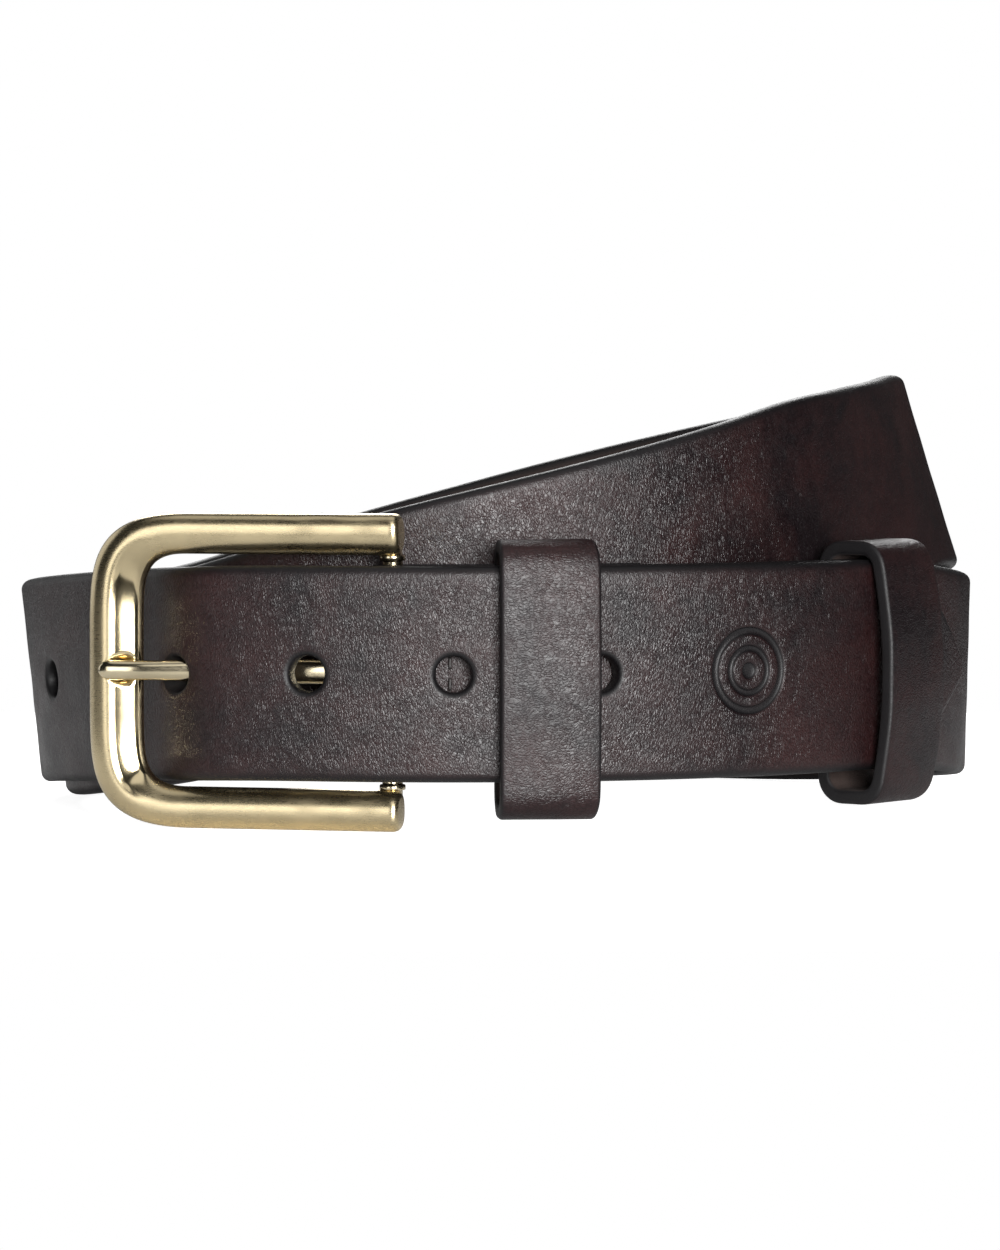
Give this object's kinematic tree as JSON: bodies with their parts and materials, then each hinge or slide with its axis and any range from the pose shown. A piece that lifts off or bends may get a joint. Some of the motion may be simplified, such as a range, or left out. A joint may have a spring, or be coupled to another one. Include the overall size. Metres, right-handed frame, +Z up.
{
  "type": "leather belt",
  "caption": "Leather belt with a cast U-shaped prong buckle, a fixed and a loose keeper and a pointed tip, buckled and standing on its edges as a two-turn coil.",
  "frame": {"origin": "centre of the bounding box on the surface it stands on", "axes": "+Z up, +X along the front strand towards the pointed tip, -Y towards the viewer in front of the buckle"},
  "size_m": [0.1796, 0.1685, 0.0805],
  "materials": {
    "strap_leather": "dark espresso full-grain leather, fine grain, satin, burnished edges",
    "keeper_leather": "smooth dark brown leather with black cut edges",
    "buckle_brass": "satin brushed pale brass",
    "bar_brass": "polished pale brass",
    "prong_brass": "polished pale brass",
    "staple_steel": "plain wire",
    "thread": "waxed thread"
  },
  "bodies": {
    "strap": {"strap_coil": "strap_leather", "strap_buckle_bend": "strap_leather", "strap_tip_end": "strap_leather", "fixed_keeper": "keeper_leather", "fixed_keeper_staple": "staple_steel", "stitch_row_inner": "thread", "stitch_row_outer": "thread"},
    "buckle": {"buckle_frame": "buckle_brass", "heel_bar": "bar_brass"},
    "prong": {"prong": "prong_brass"},
    "loose_keeper": {"loose_keeper": "keeper_leather", "loose_keeper_staple": "staple_steel"}
  },
  "joints": [
    {"name": "buckle_pivot", "type": "hinge", "parent": "strap", "child": "buckle", "pos_m": [-0.01847, -0.07204, 0.0281], "axis": [0, 0, 1], "range_deg": [0, 15], "deforming": ["strap_buckle_bend"]},
    {"name": "prong_pivot", "type": "hinge", "parent": "buckle", "child": "prong", "pos_m": [-0.01847, -0.07204, 0.0281], "axis": [0, 0, 1], "range_deg": [0, 3]},
    {"name": "keeper_slide", "type": "hinge", "parent": "strap", "child": "loose_keeper", "pos_m": [-0.008, 0.0171, 0.0281], "axis": [0, 0, 1], "range_deg": [-23, 3]}
  ]
}
